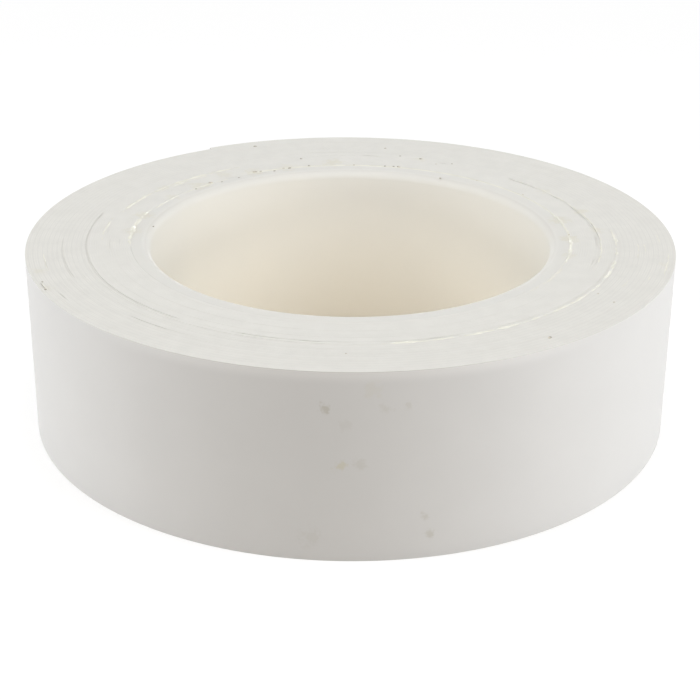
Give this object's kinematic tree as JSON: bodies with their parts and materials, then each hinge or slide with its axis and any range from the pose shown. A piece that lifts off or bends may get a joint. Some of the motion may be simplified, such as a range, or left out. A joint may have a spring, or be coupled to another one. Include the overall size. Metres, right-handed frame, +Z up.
{
  "type": "roll of tubular rim tape",
  "caption": "Roll of white double-sided tape wound with its release liner on a plastic core, with a free end that lifts off and a liner that peels back.",
  "frame": {"origin": "on the core's axis, at the level of the roll's lower edge", "axes": "+Z up along the core's axis, -Y towards the viewer of the picture"},
  "size_m": [0.0702, 0.0705, 0.02],
  "materials": {
    "core_plastic": "moulded, satin",
    "adhesive": "tacky, semi-gloss",
    "carrier": "thin woven cloth",
    "liner": "silicone-coated, satin"
  },
  "bodies": {
    "roll": {"core_ring": "core_plastic", "rim_side_adhesive": "adhesive", "carrier_fabric": "carrier", "tyre_side_adhesive": "adhesive", "release_liner": "liner"},
    "tape_end": {"tail_rim_adhesive": "adhesive", "tail_carrier": "carrier", "tail_tyre_adhesive": "adhesive", "tail_liner": "liner"},
    "liner_end": {"liner_flap": "liner"}
  },
  "joints": [
    {"name": "tape_end_lift", "type": "hinge", "parent": "roll", "child": "tape_end", "pos_m": [0.0112, 0.03363, 0.01], "axis": [0, 0, -1], "range_deg": [0, 75]},
    {"name": "liner_peel", "type": "hinge", "parent": "tape_end", "child": "liner_end", "pos_m": [-0.0006, 0.0355, 0.01], "axis": [0, 0, -1], "range_deg": [0, 110]}
  ]
}
